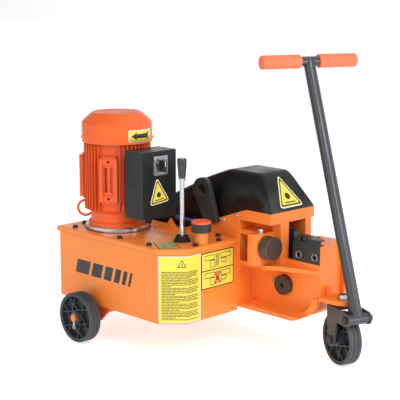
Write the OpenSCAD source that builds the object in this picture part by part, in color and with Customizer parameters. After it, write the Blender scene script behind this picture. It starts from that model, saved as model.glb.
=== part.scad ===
// Wheeled hydraulic rebar cutter: oil tank with a vertical motor, cutting head, cover and pull handle.
// Working frame: x forward from the tank's rear wall, y across from its near wall, z up from the floor.

/* [Tank] */
// Length of the oil tank
tank_len = 503; // [480:1:520]
// Width of the oil tank
tank_wid = 264; // [255:1:264]
// Height of the tank's floor above the ground
tank_low = 107; // [100:1:115]
// Height of the lid's top face above the ground
lid_top = 323; // [320:1:326]
// Length of the 45 degree corner at the front of the tank
corner = 60; // [40:1:70]
// Thickness of the tank's sheet
sheet = 4; // [3:0.5:5]

/* [Motor] */
// Place of the motor's axis along the tank
motor_x = 131; // [125:1:135]
// Place of the motor's axis across the tank
motor_y = 124; // [120:1:128]
// Outer radius of the round mounting flange
flange_r = 99.5; // [95:0.5:105]
// Outer radius of the cooling fins
fin_r = 101; // [95:1:103]
// Outer radius of the fan cowl
cowl_r = 106; // [104:1:110]
// Number of cooling fins in a full turn
fins = 48; // [36:4:60]

/* [Switch box] */
// Width of the switch box across the tank
box_wid = 132; // [120:1:140]
// Height of the switch box
box_high = 198; // [180:1:200]
// Width of the square switch plate
plate_wid = 54; // [50:1:60]

/* [Head] */
// Length of the steel head, up to its front face
head_end = 765; // [760:1:770]
// Rear jaw of the throat, where the bar goes in
throat_rear = 632; // [630:1:634]
// Front jaw of the throat
throat_front = 662; // [660:1:664]
// Radius of the blade arm's pivot pin
pin_r = 25; // [22:1:28]
// Radius of the adjustable bar stop
stop_r = 34; // [30:1:34]
// Slope of the cylinder and of the guard cover, in degrees
slope = 19.5; // [19:0.5:20]

/* [Wheels] */
// Radius of each wheel
wheel_r = 75; // [70:1:75]
// Width of each wheel
wheel_wid = 40; // [34:1:44]
// Place of the rear axle along the tank
rear_x = 148; // [140:1:160]
// Place of the steering axis along the machine
steer_x = 825; // [820:1:830]
// Angle that the front wheel is turned by, clockwise from above
steer = 20; // [0:1:30]

/* [Handle] */
// Length of the pull handle's pipe
pull_len = 743; // [700:1:760]
// Lean of the pull handle towards the machine, in degrees
lean = 22.8; // [20:0.1:24]
// Length of the cross bar
bar_len = 307; // [280:1:320]
// Radius of the handle's pipe
pipe_r = 16.8; // [15:0.1:18]

/* [Hidden] */
$fn = 64;

// The row's origin: the middle of the whole machine's footprint
origin_x = 456.52;
origin_y = 251.44;

gasket = 2;
lid_thick = 15;
tank_high = lid_top - lid_thick - gasket;
lid_bolt_at = [
  [49, 22], [260, 20], [388, 20], [22, 80], [484, 110],
  [484, 204], [441, 245], [49, 242], [260, 242]];
bolt_r = 4;
lever_at = [417, 122];
filler_at = [473, 144];
fit = 0.05;

ring_z = lid_top + 13;
fins_low = 385;
fins_top = 587;
cowl_top = 677;
motor_bore_r = 82.5;
feet_turn = [-55, -145];

pump_c = 20;
teeth = 12;
gear_low = 205;
gear_top = 235;

box_x = [245, 322];
box_z = 378;

wall_near = 264;
wall_far = 453;
wall_thick = 12;
wall_end = 510;
head_low = 118;
ledge_z = 248;
ledge_thick = 12;
flange_z = 380;
flange_top = 412;
web_y = 325;
web_thick = 16;
cheek_far = 415;
front_top = 330;
throat_low = 274;
shear_y = 372;
mid_y = 378;
cover_len = 536;

pivot = [635, 199];
arm_y = [350, 406];
push_h = 232;
pad_back = 25;
nose_r = 30;
half_swing = 9;
nose_back = push_h * tan(half_swing) + (pad_back + nose_r) / cos(half_swing) + 0.4;
foot = [pivot[0] - push_h * sin(slope), pivot[1] + push_h * cos(slope)];

stop_y = 270;
stop_z = 313;
lug_hole = [367, 452];

steer_y = 352;
fork_in = 31;
fork_thick = 6;
ear = 75;
ear_z = 150;

// Puts a node in the row's frame
module place() translate([-origin_x, -origin_y, 0]) children();

// Extrudes an outline drawn in x and z from one y to another
module across(y0, y1) translate([0, y1, 0]) rotate([90, 0, 0]) linear_extrude(y1 - y0) children();

// A straight rod along y
module rod_y(x, z, r, y0, y1) translate([x, y0, z]) rotate([-90, 0, 0]) cylinder(h = y1 - y0, r = r);

// A straight rod along x
module rod_x(y, z, r, x0, x1) translate([x0, y, z]) rotate([0, 90, 0]) cylinder(h = x1 - x0, r = r);

// A hexagon head with a chamfered top, as high as h
module hex_head(af, h) intersection() {
  cylinder(h = h, r = af / sqrt(3), $fn = 6);
  cylinder(h = h, r1 = af * 0.75, r2 = af * 0.52);
}

// A box between two corners
module block(a, b) translate(a) cube(b - a);

// Places a shape on the motor's axis
module on_motor() place() translate([motor_x, motor_y, 0]) children();

// The tank's outline in plan, drawn smaller or larger all round by grow
module tank_plan(grow = 0, rear = 0) polygon([
  [-grow - rear, -grow], [tank_len - corner + grow * 0.4, -grow], [tank_len + grow, corner - grow * 0.4],
  [tank_len + grow, tank_wid], [-grow - rear, tank_wid]]);

module tank_inside(gap) polygon([
  [gap, gap], [tank_len - corner - gap * 0.4, gap], [tank_len - gap, corner + gap * 0.4],
  [tank_len - gap, tank_wid - gap], [gap, tank_wid - gap]]);

module lid_holes(r) for (p = lid_bolt_at) translate([p[0], p[1], 0]) cylinder(h = lid_top + 1, r = r);

module tank() color("darkorange") place() difference() {
  translate([0, 0, tank_low]) linear_extrude(tank_high - tank_low) tank_plan();
  translate([0, 0, tank_low + sheet]) linear_extrude(tank_high - tank_low - sheet - 6) tank_inside(sheet);
  translate([0, 0, tank_high - 7]) linear_extrude(8) tank_inside(32);
  lid_holes(bolt_r + 0.2);
  rod_x(60, 130, 9, -1, sheet + 1);
}

module lid_gasket() color("black") place() translate([0, 0, tank_high]) difference() {
  linear_extrude(gasket) tank_plan();
  translate([0, 0, -1]) linear_extrude(gasket + 2) tank_inside(32);
  translate([0, 0, -tank_high]) lid_holes(bolt_r + 0.2);
}

module tank_lid() color("darkorange") place() difference() {
  union() {
    translate([0, 0, lid_top - lid_thick]) linear_extrude(lid_thick - 3) tank_plan(2, 10);
    translate([0, 0, lid_top - 3]) linear_extrude(3) tank_plan(0, 9);
  }
  lid_holes(bolt_r + 0.2);
  translate([motor_x, motor_y, 0]) cylinder(h = lid_top + 1, r = 50);
  translate([lever_at[0], lever_at[1], 0]) cylinder(h = lid_top + 1, r = 15);
  translate([filler_at[0], filler_at[1], 0]) cylinder(h = lid_top + 1, r = 16);
}

module lid_bolts() color("dimgray") place() for (p = lid_bolt_at) translate([p[0], p[1], 0]) {
  translate([0, 0, lid_top + 1.5]) hex_head(13, 6);
  translate([0, 0, lid_top]) cylinder(h = 1.5, r = 9);
  translate([0, 0, lid_top - 30]) cylinder(h = 30, r = bolt_r);
}

module drain_plug() color("silver") place() {
  translate([0, 60, 130]) rotate([0, -90, 0]) hex_head(22, 9);
  rod_x(60, 130, 8.95, 0, sheet + 8);
}

// Silver ring between the lid and the motor
module motor_flange() color("silver") on_motor() difference() {
  translate([0, 0, lid_top]) rotate_extrude() polygon([
    [40, 0], [flange_r, 0], [flange_r, 11], [flange_r - 2, 13], [40, 13]]);
  translate([0, 0, lid_top - 1]) cylinder(h = 15, r = 60);
}

// Lower end shield, a bell that stands on the ring
module drive_endshield() color("orangered") on_motor() difference() {
  translate([0, 0, ring_z]) rotate_extrude() polygon([
    [20.05, 6], [78, 6], [78, 0], [90, 0], [90, 10], [82, 16],
    [82, 40], [92, 49], [60, 49], [60, 26], [20.05, 26]]);
  for (a = [45:90:315]) rotate(a) translate([86, 0, ring_z - 1]) cylinder(h = 12, r = 3);
}

// Cooling fins; beside the feet there are none, and above the switch box they are short
module fin_ring() for (i = [0:fins - 1]) {
  a = i * 360 / fins;
  front = abs((a + 540) % 360 - 180);
  away = min([for (f = concat(feet_turn, [180])) abs((a - f + 540) % 360 - 180)]);
  low = front > 26 ? fins_low : 548;
  if (away > 13)
    rotate(a) translate([84, -1.3, low]) cube([fin_r - 84, 2.6, fins_top - low - 3]);
}

// Finned barrel with two foot pads and the pad that carries the switch box
module motor_housing() color("orangered") on_motor() difference() {
  union() {
    translate([0, 0, fins_low]) cylinder(h = fins_top - fins_low, r = 87);
    fin_ring();
    for (a = feet_turn) rotate(a) {
      block([80, -22, 412], [103, 22, 552]);
      for (s = [-1, 1]) block([100, s * 22 - 5, 418], [112, s * 22 + 5, 547]);
      for (z = [418, 529]) block([100, -17, z], [108, 17, z + 18]);
    }
    block([80, -31, 418], [114, 31, 540]);
    for (a = [30, 150, 210, 330]) rotate(a) translate([92, 0, fins_low]) cylinder(h = 24, r = 8);
  }
  translate([0, 0, fins_low - 1]) cylinder(h = fins_top - fins_low + 2, r = motor_bore_r);
  for (a = feet_turn) rotate(a) {
    block([88, -13, 446], [110, -4, 520]);
    block([96, 4, 446], [110, 12, 520]);
  }
  for (a = feet_turn, z = [427, 538])
    rotate(a) translate([90, 0, z]) rotate([0, 90, 0]) cylinder(h = 20, r = 4.5);
}

module fan_cowl() color("orangered") on_motor() difference() {
  rotate_extrude() polygon([
    [cowl_r, fins_top + 1], [cowl_r, 645], [cowl_r - 5, 653], [cowl_r - 30, cowl_top - 2],
    [cowl_r - 34, cowl_top], [0, cowl_top], [0, cowl_top - 2], [cowl_r - 35, cowl_top - 2],
    [cowl_r - 8, 651], [cowl_r - 2, 644],
    [cowl_r - 2, fins_top + 1]]);
  for (k = [1:5], i = [0:6 * k - 1])
    rotate(i * 60 / k) translate([12.5 * k, 0, cowl_top - 3]) cylinder(h = 4, r = 4, $fn = 16);
  translate([0, 0, cowl_top - 3]) cylinder(h = 4, r = 4, $fn = 16);
  for (a = [45:90:315])
    rotate(a) translate([cowl_r - 5, 0, 600]) rotate([0, 90, 0]) cylinder(h = 10, r = 2.6);
}

module cowl_screws() color("orangered") on_motor() for (a = [45:90:315])
  rotate(a) translate([cowl_r + 0.1, 0, 600]) {
    rotate([0, 90, 0]) cylinder(h = 3, r1 = 5, r2 = 3.5);
    translate([-12, 0, 0]) rotate([0, 90, 0]) cylinder(h = 12, r = 2.5);
  }

module stator() color("darkgray") on_motor() difference() {
  union() {
    translate([0, 0, 410]) cylinder(h = 150, r = motor_bore_r);
    for (z = [395, 560]) translate([0, 0, z]) rotate_extrude() translate([62, 7]) circle(8);
  }
  translate([0, 0, 380]) cylinder(h = 200, r = 50.5);
}

module motor_bearings() color("silver") on_motor() {
  translate([0, 0, ring_z + 10]) difference() {
    cylinder(h = 14, r = 20);
    translate([0, 0, -1]) cylinder(h = 16, r = 12.5 + fit);
  }
  translate([0, 0, 576]) difference() {
    cylinder(h = 11, r = motor_bore_r);
    translate([0, 0, -1]) cylinder(h = 14, r = 12.5 + fit);
  }
}

// Bent rod eye on the side of the lower end shield
module lifting_eye() color("orangered") on_motor() difference() {
  rotate(-134.5) translate([99, 0, 382]) rotate([90, 0, 0])
    rotate_extrude() translate([23, 0]) circle(3.8, $fn = 24);
  translate([0, 0, 381]) cylinder(h = 40, r = 87);
  translate([0, 0, 340]) cylinder(h = 42, r = 82);
}

module rotor() color("gray") on_motor() {
  translate([0, 0, 262]) cylinder(h = 368, r = 12.5);
  translate([0, 0, 415]) cylinder(h = 140, r = 50);
  translate([0, 0, 280]) cylinder(h = 30, r = 26);
}

module cooling_fan() color("dimgray") on_motor() translate([0, 0, 592]) difference() {
  union() {
    cylinder(h = 34, r = 20);
    cylinder(h = 3, r = 92);
    for (i = [0:7]) rotate(i * 45) block([18, -1.5, 2], [92, 1.5, 34]);
  }
  translate([0, 0, -1]) cylinder(h = 36, r = 12.5);
}

module bell_housing() color("silver") on_motor() difference() {
  union() {
    translate([0, 0, 252]) cylinder(h = lid_top - 252, r = 49.8);
    translate([0, 0, 252]) cylinder(h = 8, r = 58);
  }
  translate([0, 0, 260]) cylinder(h = 70, r = 42);
  translate([0, 0, 250]) cylinder(h = 20, r = 14);
}

// Two round chambers side by side hold the pump's gears
module pump_body() color("gray") on_motor() difference() {
  block([-42, -40, 188], [42, 40 + 2 * pump_c, 252]);
  for (y = [0, 2 * pump_c])
    translate([0, y, gear_low - 0.3]) cylinder(h = gear_top - gear_low + 0.6, r = 23.4);
  translate([0, 0, 195]) cylinder(h = 60, r = 8 + fit);
  translate([0, 2 * pump_c, 195]) cylinder(h = 50, r = 8 + fit);
  rod_x(pump_c, 220, 7, -45, 45);
}

// Involute tooth flank at radius r, as an angle from the tooth's middle
base_r = pump_c * cos(20);
function roll(r) = let (t = sqrt(max(0, pow(r / base_r, 2) - 1))) t * 180 / PI - atan(t);
function flank(r) = 90 / teeth - 0.6 + roll(pump_c) - roll(r);
function at(r, a) = [r * cos(a), r * sin(a)];

module gear_plan() polygon([for (i = [0:teeth - 1]) let (m = i * 360 / teeth) each [
  at(16.4, m - flank(base_r)),
  for (r = [base_r, 19.6, 20.4, 21.4, 22.6]) at(r, m - flank(r)),
  for (r = [22.6, 21.4, 20.4, 19.6, base_r]) at(r, m + flank(r)),
  at(16.4, m + flank(base_r))]]);

module pump_drive_gear() color("silver") on_motor() {
  translate([0, 0, gear_low]) linear_extrude(gear_top - gear_low) gear_plan();
  translate([0, 0, 196]) cylinder(h = 66, r = 8);
}

module pump_driven_gear() color("silver") on_motor() translate([0, 2 * pump_c, 0]) {
  translate([0, 0, gear_low]) rotate(180 / teeth) linear_extrude(gear_top - gear_low) gear_plan();
  translate([0, 0, 196]) cylinder(h = 48, r = 8);
}

box_y = motor_y - box_wid / 2 - 2;

module switch_box() color([0.16, 0.17, 0.18]) place() difference() {
  block([box_x[0], box_y, box_z], [box_x[1] - 22, box_y + box_wid, box_z + box_high]);
  block([box_x[0] + 4, box_y + 4, box_z + 4], [box_x[1], box_y + box_wid - 4, box_z + box_high - 4]);
  translate([270, motor_y, box_z - 1]) cylinder(h = 10, r = 12);
}

module switch_box_cover() color([0.19, 0.2, 0.21]) place() difference() {
  block([box_x[1] - 22, box_y, box_z], [box_x[1], box_y + box_wid, box_z + box_high]);
  block([box_x[1] - 23, box_y + 4, box_z + 4], [box_x[1] - 4, box_y + box_wid - 4, box_z + box_high - 4]);
  rod_x(126, 533, 6.2, box_x[1] - 8, box_x[1] + 1);
}

module switch_plate() color("silver") place() difference() {
  block([box_x[1], 126 - plate_wid / 2, 533 - 28], [box_x[1] + 2, 126 + plate_wid / 2, 533 + 28]);
  rod_x(126, 533, 6.2, box_x[1] - 1, box_x[1] + 3);
}

module switch_knob() color([0.12, 0.12, 0.13]) place() {
  rod_x(126, 533, 6, box_x[1] - 12, box_x[1] + 3);
  rod_x(126, 533, 17, box_x[1] + 2.4, box_x[1] + 8);
  block([box_x[1] + 8, 126 - 5, 533 - 17], [box_x[1] + 21, 126 + 5, 533 + 17]);
}

module cable_gland() color("slategray") place() translate([270, motor_y, 0]) difference() {
  union() {
    translate([0, 0, box_z - 6]) cylinder(h = 6, r = 15, $fn = 6);
    translate([0, 0, box_z - 24]) cylinder(h = 18, r1 = 9, r2 = 13);
    translate([0, 0, box_z]) cylinder(h = 12, r = 11.9);
  }
  translate([0, 0, box_z - 25]) cylinder(h = 40, r = 6);
}

module valve_block() color("gray") place() translate(lever_at) difference() {
  union() {
    block([-48, -24, 262], [48, 24, 300]);
    for (s = [-1, 1]) block([-12, s * 14 - 4, 300], [12, s * 14 + 4, 308]);
    rod_y(0, 316, 3, -14, 14);
    for (s = [-1, 1]) translate([-5, s * 12 - 2, 306]) cube([10, 4, 15]);
  }
  rod_x(0, 282, 8 + fit, -49, 49);
  block([-13, -6, 281], [13, 6, 301]);
}

module valve_spool() color("silver") place() translate(lever_at) difference() {
  rod_x(0, 282, 8, -38, 38);
  block([-5.2, -4, 278], [5.2, 4, 295]);
  for (s = [-1, 1]) translate([s * 22 - 4, 0, 282]) rotate([0, 90, 0]) difference() {
    cylinder(h = 8, r = 9);
    translate([0, 0, -1]) cylinder(h = 10, r = 5.5);
  }
}

// Lever: hub on its pin, a short arm down to the spool and the long rod up to the grip
module control_lever() color("silver") place() translate(lever_at) difference() {
  union() {
    rod_y(0, 316, 8, -9, 9);
    translate([0, 0, 280]) cylinder(h = 30, r = 3.2);
    translate([0, 0, 316]) cylinder(h = 22, r = 7);
    translate([0, 0, 338]) cylinder(h = 26, r = 8.5);
    translate([0, 0, 364]) cylinder(h = 8, r1 = 8.5, r2 = 6);
    translate([0, 0, 372]) cylinder(h = 137, r = 6.8);
    translate([0, 0, 508]) cylinder(h = 52, r = 6);
  }
  rod_y(0, 316, 3 + fit, -10, 10);
}

module lever_grip() color([0.14, 0.14, 0.15]) place() translate(lever_at) difference() {
  translate([0, 0, 509]) rotate_extrude() polygon([
    [0, 0], [9.5, 0], [10.2, 2], [13.6, 42], [13.7, 53], [12.6, 55.6], [11, 56], [0, 56]]);
  translate([0, 0, 508]) cylinder(h = 52, r = 6);
}

module lever_boot() color([0.1, 0.1, 0.1]) place() translate([lever_at[0], lever_at[1], lid_top])
  rotate_extrude() polygon([
    [15.5, 0], [23, 0], [23, 3], [20.5, 4], [20.5, 10], [18.5, 12],
    [19.5, 15], [17.5, 18], [15.2, 18], [15.2, 4]]);

module filler_neck() color("darkorange") place() translate([filler_at[0], filler_at[1], 0]) difference() {
  union() {
    translate([0, 0, lid_top]) cylinder(h = 34, r = 20);
    translate([0, 0, lid_top - lid_thick]) cylinder(h = lid_thick, r = 15.9);
  }
  translate([0, 0, lid_top - lid_thick - 1]) cylinder(h = 60, r = 14);
}

cap_z = lid_top + 34.3;
module at_filler(z) place() translate([filler_at[0], filler_at[1], z]) children();
module filler_cap() color([0.13, 0.13, 0.14]) at_filler(cap_z) difference() {
  union() {
    cylinder(h = 26, r = 29);
    translate([0, 0, 26]) cylinder(h = 4, r1 = 29, r2 = 27);
    translate([0, 0, -14]) cylinder(h = 14, r = 14 - fit);
  }
  for (i = [0:35]) rotate(i * 10) translate([30.2, 0, -1]) cylinder(h = 25, r = 1.9, $fn = 12);
}

// Height of the head's sloping top edge at a given x
function edge_z(x) = flange_top - (cover_len - x) * tan(slope);

module wall_plan() polygon([
  [100, head_low], [wall_end, head_low], [wall_end, edge_z(wall_end)], [100, edge_z(100)]]);

module cheek_plan() polygon([
  [wall_end, head_low], [head_end, head_low], [head_end, front_top], [throat_front + 2, front_top],
  [throat_front + 2, throat_low], [throat_rear, throat_low], [throat_rear, flange_z],
  [wall_end, flange_z]]);

// Flange under the front of the cover: sloped behind the cover's bend, level before it
module flange_plan() polygon([
  [wall_end, flange_z], [throat_rear, flange_z], [throat_rear, flange_top], [cover_len, flange_top],
  [wall_end, edge_z(wall_end)]]);

// Ledge outline: straight below the boss, then a step in and a long curve to the front face
module ledge_plan() polygon([
  [wall_end - 12, web_y + 4], [wall_end - 12, wall_near], [wall_end, wall_near], [560, 263],
  [600, 261], [612, 262], [622, 267], [636, 278], [648, 285], [662, 290], [692, 301], [726, 313],
  [head_end - 2, web_y], [head_end - 2, web_y + 4]]);

// Boss that guides the bar stop, with a rounded outer corner
boss_low = 262;
module boss_plan() polygon(concat(
  [[606, web_y], [570, web_y], [570, stop_y - 36]],
  [for (a = [-90:6:0]) [582 + 24 * cos(a), stop_y - 12 + 24 * sin(a)]]));

// Bend that turns the bottom of the frame up into its front face, and the outline of its lower ledge
bend_r = 62;
bend_at = [head_end - bend_r, head_low + bend_r];
module bottom_plan() polygon(concat(
  [[wall_end, web_y + 4], [wall_end, 268], [700, 292]],
  [for (a = [15:15:75]) [700 + 62 * sin(a), web_y + 2 - 35 * cos(a)]],
  [[764, web_y + 4]]));
module bottom_ledge() difference() {
  translate([0, 0, head_low]) linear_extrude(bend_r) bottom_plan();
  block([wall_end + 1, wall_near, head_low + 14], [bend_at[0], web_y + 0.5, head_low + bend_r + 1]);
  rod_y(bend_at[0], bend_at[1], bend_r - 14, wall_near, web_y + 0.5);
}

module head_frame() color("darkorange") place() difference() {
  union() {
    across(wall_near, wall_near + wall_thick) wall_plan();
    across(wall_far - wall_thick, wall_far) wall_plan();
    block([100, wall_near, head_low], [112, wall_far, edge_z(100)]);
    block([100, wall_near, head_low], [head_end, wall_far - wall_thick, head_low + 12]);
    block([wall_end - 12, wall_near, head_low], [wall_end + 1, web_y + web_thick, edge_z(wall_end - 12)]);
    block([wall_end - 12, cheek_far, head_low], [wall_end + 1, wall_far, edge_z(wall_end - 12)]);
    across(web_y, web_y + web_thick) cheek_plan();
    across(cheek_far, wall_far - wall_thick) cheek_plan();
    across(wall_near, wall_far) flange_plan();
    block([600, 307, ledge_z], [throat_rear, web_y, flange_z]);
    translate([0, 0, ledge_z]) linear_extrude(ledge_thick) ledge_plan();
    bottom_ledge();
    translate([0, 0, boss_low]) linear_extrude(stop_z + 39 - boss_low) boss_plan();
    block([572, wall_near, ledge_z + 4], [604, web_y + 1, boss_low + 4]);
    block([wall_end, wall_near + 2, 340], [571, web_y + 1, stop_z + 39]);
    difference() {
      block([604, web_y - 1, flange_z - 16], [throat_rear, web_y + web_thick, flange_z + 1]);
      rod_x(web_y + web_thick, flange_z - 16, 16, 603, throat_rear + 1);
    }
    block([704, web_y, head_low], [head_end, wall_far - wall_thick, front_top]);
  }
  rod_y(pivot[0], pivot[1], pin_r + fit, web_y - 1, wall_far);
  rod_x(stop_y, stop_z, 20 + fit, 560, 620);
  translate([586, stop_y, stop_z]) cylinder(h = 60, r = 5);
  block([throat_front - 1, web_y - 1, 276], [762, 350, front_top + 1]);
  block([throat_front - 1, 349, 276], [724, shear_y + 26, front_top + 1]);
  block([750, 388, 152], [head_end + 1, 432, front_top + 1]);
  rod_y(593, 205, 4, web_y - 1, web_y + web_thick + 1);
  for (x = [684, 742]) rod_y(x, 296, 5.2, web_y, 385);
  block([wall_end - 13, 343, flange_z - 1], [629.5, 413, flange_z + 13]);
  block([wall_end - 13, 343, flange_z + 12], [625, 413, flange_top + 1]);
  difference() {
    block([bend_at[0], wall_near - 1, head_low - 1], [head_end + 1, wall_far + 1, bend_at[1]]);
    rod_y(bend_at[0], bend_at[1], bend_r, wall_near - 2, wall_far + 2);
  }
}

// Rings of a loft: lower edge on the head, upper edge narrower
cover_at = [[632, 0], [565, 104], [cover_len, 104.7], [435, 142.8], [339, 141], [202, 125], [64, 104]];
module cover_loft(t) {
  rings = [for (c = cover_at) let (low = min(flange_top, edge_z(c[0])) + 0.2,
      x = c[0] == 632 ? 632 - t : c[0] == 64 ? 64 + t : c[0], up = max(c[1] - t, t > 0 ? 0 : 0.5),
      drop = t > 0 ? 2 : 0, k = min(1, c[1] / 100))
    [[x, wall_near + t, low - drop], [x, wall_near + t + 34 * k, low + up],
     [x, wall_far - t - 34 * k, low + up], [x, wall_far - t, low - drop]]];
  n = len(rings);
  polyhedron(points = [for (r = rings) each r],
    faces = concat([[0, 1, 2, 3]], [[for (j = [3:-1:0]) 4 * (n - 1) + j]],
      [for (i = [0:n - 2], j = [0:3]) let (a = 4 * i + j, b = 4 * i + (j + 1) % 4)
        each [[a, b + 4, b], [a, a + 4, b + 4]]]));
}

module guard_cover() color([0.13, 0.13, 0.14]) place() difference() {
  cover_loft(0);
  cover_loft(4);
}

// Places of the cover's screws: x and the wall they sit on
screw_at = [[445, 0], [500, 0], [150, 1], [300, 1], [450, 1]];
module cover_screws() color("silver") place() for (p = screw_at)
  translate([p[0], p[1] == 0 ? wall_near : wall_far, edge_z(p[0]) - 11])
    rotate([p[1] == 0 ? 90 : -90, 0, 0]) cylinder(h = 4, r1 = 6, r2 = 4.5);

// Slanted plate with the hoisting hole, welded to the top of the near wall
module lifting_lug() color([0.16, 0.16, 0.17]) place() difference() {
  across(wall_near - 16, wall_near) {
    translate(lug_hole) circle(36);
    polygon([[386, edge_z(386) - 12], [432, edge_z(432) - 12], [402.7, 456], [336, 434]]);
  }
  rod_y(lug_hole[0], lug_hole[1], 15.5, wall_near - 20, wall_near + 2);
}

// Places a shape on the cylinder's axis: z runs along the push, 0 is the foot of the arm's radius
module on_push() place() translate([foot[0], mid_y, foot[1]]) rotate([0, 90 - slope, 0]) children();

module cylinder_barrel() color([0.2, 0.22, 0.25]) on_push() difference() {
  union() {
    translate([0, 0, -nose_back - 246]) cylinder(h = 206, r = 50);
    translate([0, 0, -nose_back - 40]) cylinder(h = 12, r = 44);
    block([-20, -102, -nose_back - 200], [20, -50 + 12, -nose_back - 160]);
    block([-20, 50 - 12, -nose_back - 200], [20, 63, -nose_back - 160]);
  }
  translate([0, 0, -nose_back - 230]) cylinder(h = 172, r = 40);
  translate([0, 0, -nose_back - 60]) cylinder(h = 40, r = 25 + fit);
}

module piston_rod() color("silver") on_push() {
  translate([0, 0, -nose_back - 222]) cylinder(h = 40, r = 40 - fit);
  translate([0, 0, -nose_back - 222]) cylinder(h = 222, r = 25);
  translate([0, 0, -nose_back]) intersection() {
    sphere(nose_r);
    translate([0, 0, -5]) cylinder(h = 40, r = 25);
  }
}

// Blue pipe that carries oil along the near wall, under the edge of the cover
module pressure_pipe() color("royalblue") place() {
  rod_x(257, 350, 4.5, 250, 338);
  for (x = [250, 330]) rod_x(257, 350, 7, x, x + 12);
}

// Blade arm: boss on the pivot, neck behind the throat and a head with the push pad
module arm_plan() translate(pivot) rotate(half_swing + slope) polygon([
  [-38, 10], [-44, 60], [-pad_back, 130], [-pad_back, 245], [-14, 256], [0, 256], [8, 246],
  [35, 147], [4, 85], [27, 59], [38, 10]]);

module blade_arm() color([0.35, 0.36, 0.38]) place() difference() {
  union() {
    across(arm_y[0], arm_y[1]) arm_plan();
    rod_y(pivot[0], pivot[1], 44, arm_y[0], arm_y[1]);
  }
  rod_y(pivot[0], pivot[1], 30, arm_y[0] - 1, arm_y[1] + 1);
  block([584, shear_y - 30, 276], [650, shear_y + 22.3, 346]);
}

module arm_bushes() color("peru") place() for (y = [arm_y[0], arm_y[1] - 24]) difference() {
  rod_y(pivot[0], pivot[1], 30, y, y + 24);
  rod_y(pivot[0], pivot[1], pin_r + fit, y - 1, y + 25);
}

module pivot_pin() color([0.18, 0.18, 0.19]) place() difference() {
  union() {
    rod_y(pivot[0], pivot[1], 29, web_y - 15, web_y);
    rod_y(pivot[0], pivot[1], pin_r, web_y, wall_far - 12);
  }
  translate([pivot[0], web_y - 7, pivot[1]]) rotate([90, 0, 0]) cylinder(h = 12, r = 8, $fn = 6);
}

module grease_nipple() color("silver") place() translate([593, web_y, 205]) rotate([90, 0, 0]) {
  cylinder(h = 6, r = 7, $fn = 6);
  translate([0, 0, 6]) cylinder(h = 4, r1 = 3.5, r2 = 2.5);
  translate([0, 0, 10]) sphere(3.4);
  translate([0, 0, -12]) cylinder(h = 12, r = 3.95);
}

module moving_blade() color([0.25, 0.25, 0.27]) place() intersection() {
  block([584, shear_y + 0.3, 276], [650, shear_y + 22.3, 346]);
  translate([pivot[0] - 5, 0, 308]) rotate([0, -half_swing, 0]) block([-80, 300, -80], [0, 500, 80]);
}

module fixed_blade() color([0.25, 0.25, 0.27]) place() difference() {
  block([throat_front, 350, 278], [722, shear_y - 0.3, 346]);
  rod_y(684, 296, 5.2, 340, 380);
}

module blade_holder() color([0.17, 0.17, 0.18]) place() difference() {
  union() {
    block([throat_front, web_y, 278], [714, 350, 334]);
    block([713, web_y, 278], [760, 350, 347]);
  }
  for (x = [676, 698]) translate([x, 337, 326]) cylinder(h = 9, r = 5.5);
  translate([0, 0, 277]) linear_extrude(72) polygon([[744, 351], [761, 330], [761, 351]]);
  for (x = [684, 742]) {
    rod_y(x, 296, 5.2, web_y - 1, 351);
    rod_y(x, 296, 9, web_y - 1, web_y + 9);
  }
}

// Socket screws of the holder, clamp bolts on its top and the lock bolt of the bar stop
module clamp_bolts() color("dimgray") place() {
  for (x = [684, 742]) difference() {
    union() {
      rod_y(x, 296, 8.5, web_y, web_y + 9);
      rod_y(x, 296, 5, web_y + 9, 385 - (x == 684 ? 14 : 0));
    }
    translate([x, web_y + 5, 296]) rotate([90, 0, 0]) cylinder(h = 6, r = 4.4, $fn = 6);
  }
  for (x = [676, 698]) translate([x, 337, 334]) difference() {
    union() {
      cylinder(h = 12, r = 8.5);
      translate([0, 0, -8]) cylinder(h = 8, r = 5.5);
    }
    translate([0, 0, 6]) cylinder(h = 7, r = 4.4, $fn = 6);
  }
  translate([586, stop_y, stop_z + 39]) hex_head(17, 12);
  translate([586, stop_y, stop_z + 20 + fit]) cylinder(h = 20, r = 4.9);
}

module bar_stop() color([0.24, 0.23, 0.2]) place() {
  rod_x(stop_y, stop_z, stop_r, 608, 641);
  rod_x(stop_y, stop_z, 20, 546, 609);
}

module rear_axle() color("orangered") place() difference() {
  rod_y(rear_x, wheel_r, 10, -72, 525);
  for (y = [-68, 521]) translate([rear_x, y, wheel_r - 15]) cylinder(h = 30, r = 2);
}

module axle_brackets() color([0.75, 0.2, 0.08]) place() difference() {
  union() {
    across(6, 16) polygon([[100, tank_low], [230, tank_low], [180, 58], [120, 58]]);
    across(425, 435) polygon([[100, head_low], [230, head_low], [180, 58], [120, 58]]);
  }
  rod_y(rear_x, wheel_r, 10, 0, 440);
}

// Rim with a web, a hub and six ribs that cross each other beside it, along z, centred on the origin
rim_r = wheel_r - 7;
module rim(bore) difference() {
  union() {
    rotate_extrude() polygon([
      [rim_r - 3.5, -wheel_wid / 2 + 3], [rim_r, -wheel_wid / 2 + 3],
      [rim_r, wheel_wid / 2 - 3], [rim_r - 3.5, wheel_wid / 2 - 3]]);
    cylinder(h = 5, r = rim_r - 2, center = true);
    cylinder(h = wheel_wid, r = 20, center = true);
    for (i = [0:5]) rotate(i * 60 + 15) translate([21, 0, 0])
      cube([2.4, 2 * sqrt(pow(rim_r - 2, 2) - 23 * 23), wheel_wid - 9], center = true);
  }
  cylinder(h = wheel_wid + 2, r = bore, center = true);
}

// Grooved rubber tread round a rim
module tyre() rotate_extrude() polygon([
  for (p = [[7, -17], [4, -20], [1.5, -19], [0, -16], [0, -8], [2, -7], [2, -5], [0, -4], [0, 4],
      [2, 5], [2, 7], [0, 8], [0, 16], [1.5, 19], [4, 20], [7, 17]])
    [wheel_r - p[0], p[1] * wheel_wid / 40]]);

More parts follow.
